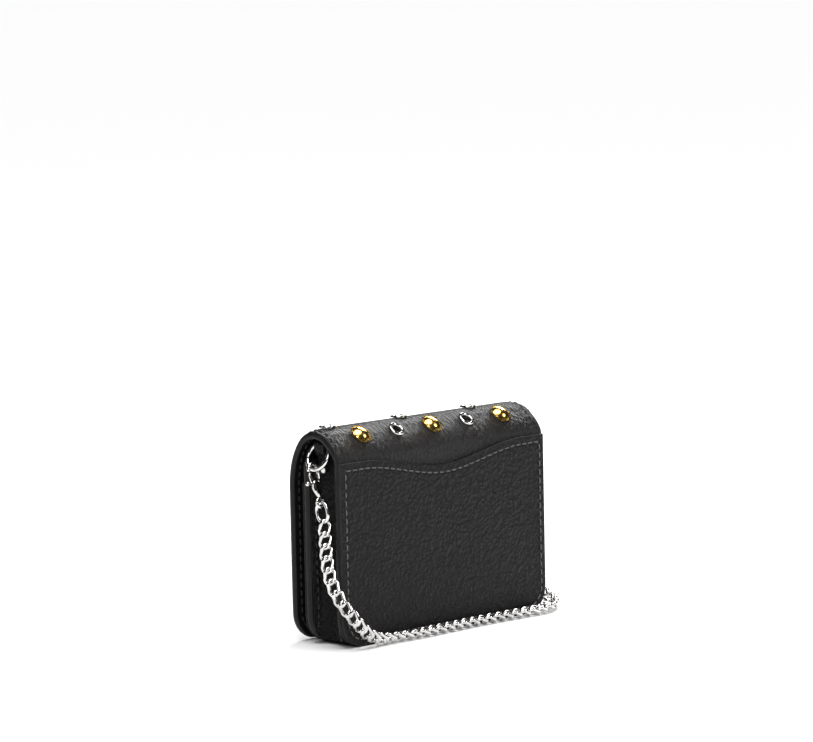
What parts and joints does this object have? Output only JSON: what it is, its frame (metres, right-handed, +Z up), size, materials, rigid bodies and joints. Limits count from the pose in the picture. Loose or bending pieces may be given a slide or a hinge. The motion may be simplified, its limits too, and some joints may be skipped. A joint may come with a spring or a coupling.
{
  "type": "chain wallet",
  "caption": "Small upright leather wallet with a studded flap over the top, concertina gussets, a scooped back pocket and a short curb chain clipped to rings at both ends.",
  "frame": {"origin": "under the middle of the wallet, on the surface it stands on", "axes": "+X towards the end that is on the right seen from the front, +Y to the back where the slip pocket is, +Z up"},
  "size_m": [0.1366, 0.0409, 0.0867],
  "materials": {
    "grained_leather": "black pebbled leather, semi-matt",
    "smooth_leather": "black fine-grained leather, semi-matt",
    "lining_leather": "black thin lining leather, matt",
    "gusset_leather": "black thin folding leather",
    "zip_tape": "black woven zip tape",
    "polished_nickel": "polished nickel plate",
    "spring_steel": "bright spring strip",
    "polished_gold": "polished gold plate"
  },
  "bodies": {
    "root": {"back_panel": "grained_leather", "slip_pocket": "smooth_leather", "back_lining": "lining_leather", "back_card_slot_1": "lining_leather", "back_card_slot_2": "lining_leather", "gusset_base": "gusset_leather", "gusset_right": "gusset_leather", "gusset_left": "gusset_leather", "coin_pocket_front": "lining_leather", "coin_pocket_rear": "lining_leather", "zip_tape_front": "zip_tape", "zip_tape_rear": "zip_tape", "zip_teeth": "polished_nickel", "ring_tab_right": "grained_leather", "ring_tab_left": "grained_leather", "tab_rivet_right": "polished_nickel", "tab_rivet_left": "polished_nickel", "end_link_right": "polished_nickel", "end_link_left": "polished_nickel", "chain": "polished_nickel"},
    "flap": {"flap_outer": "grained_leather", "flap_lining": "lining_leather", "gold_studs": "polished_gold", "silver_eyelets": "polished_nickel", "snap_socket": "polished_nickel"},
    "front_panel": {"front_panel": "smooth_leather", "front_panel_lining": "lining_leather", "front_card_slot": "smooth_leather", "gusset_pleat_right": "gusset_leather", "gusset_pleat_left": "gusset_leather", "snap_stud": "polished_nickel"},
    "zip_slider": {"zip_slider": "polished_nickel"},
    "zip_pull": {"zip_pull": "polished_nickel"},
    "ring_right": {"ring_right": "polished_nickel"},
    "ring_left": {"ring_left": "polished_nickel"},
    "clasp_right": {"clasp_right": "polished_nickel", "clasp_pin_right": "polished_nickel", "gate_spring_right": "spring_steel"},
    "clasp_left": {"clasp_left": "polished_nickel", "clasp_pin_left": "polished_nickel", "gate_spring_left": "spring_steel"},
    "gate_right": {"gate_right": "polished_nickel"},
    "gate_left": {"gate_left": "polished_nickel"}
  },
  "joints": [
    {"name": "flap_hinge", "type": "hinge", "parent": "root", "child": "flap", "pos_m": [0, 0.0159, 0.0741], "axis": [-1, 0, 0], "range_deg": [0, 150]},
    {"name": "front_panel_spread", "type": "hinge", "parent": "root", "child": "front_panel", "pos_m": [0, -0.0063, 0], "axis": [1, 0, 0], "range_deg": [0, 12]},
    {"name": "zip_slide", "type": "slide", "parent": "root", "child": "zip_slider", "axis": [-1, 0, 0], "range_m": [0, 0.084]},
    {"name": "zip_pull_lift", "type": "hinge", "parent": "zip_slider", "child": "zip_pull", "pos_m": [0.0425, 0.0048, 0.07455], "axis": [0, 1, 0], "range_deg": [0, 95]},
    {"name": "ring_right_turn", "type": "hinge", "parent": "root", "child": "ring_right", "pos_m": [0.0559, 0.0026, 0.0751], "axis": [0.9063, 0, 0.4226], "continuous": true},
    {"name": "clasp_right_swivel", "type": "hinge", "parent": "root", "child": "clasp_right", "pos_m": [0.05819, 0.00597, 0.05737], "axis": [0, -0.2924, 0.9563], "range_deg": [-10, 10]},
    {"name": "gate_right_press", "type": "hinge", "parent": "clasp_right", "child": "gate_right", "pos_m": [0.06019, 0.00363, 0.06502], "axis": [0, -0.9563, -0.2924], "range_deg": [0, 22], "stiffness_Nm_per_rad": 0.0005},
    {"name": "ring_left_turn", "type": "hinge", "parent": "root", "child": "ring_left", "pos_m": [-0.0559, 0.0026, 0.0751], "axis": [0.9063, 0, -0.4226], "continuous": true},
    {"name": "clasp_left_swivel", "type": "hinge", "parent": "root", "child": "clasp_left", "pos_m": [-0.05819, 0.00597, 0.05737], "axis": [0, 0.2924, -0.9563], "range_deg": [-10, 10]},
    {"name": "gate_left_press", "type": "hinge", "parent": "clasp_left", "child": "gate_left", "pos_m": [-0.06019, 0.00363, 0.06502], "axis": [0, 0.9563, 0.2924], "range_deg": [0, 22], "stiffness_Nm_per_rad": 0.0005}
  ],
  "couplings": [
    {"joint": "front_panel_spread", "follows": "flap_hinge", "ratio": 0.08}
  ]
}
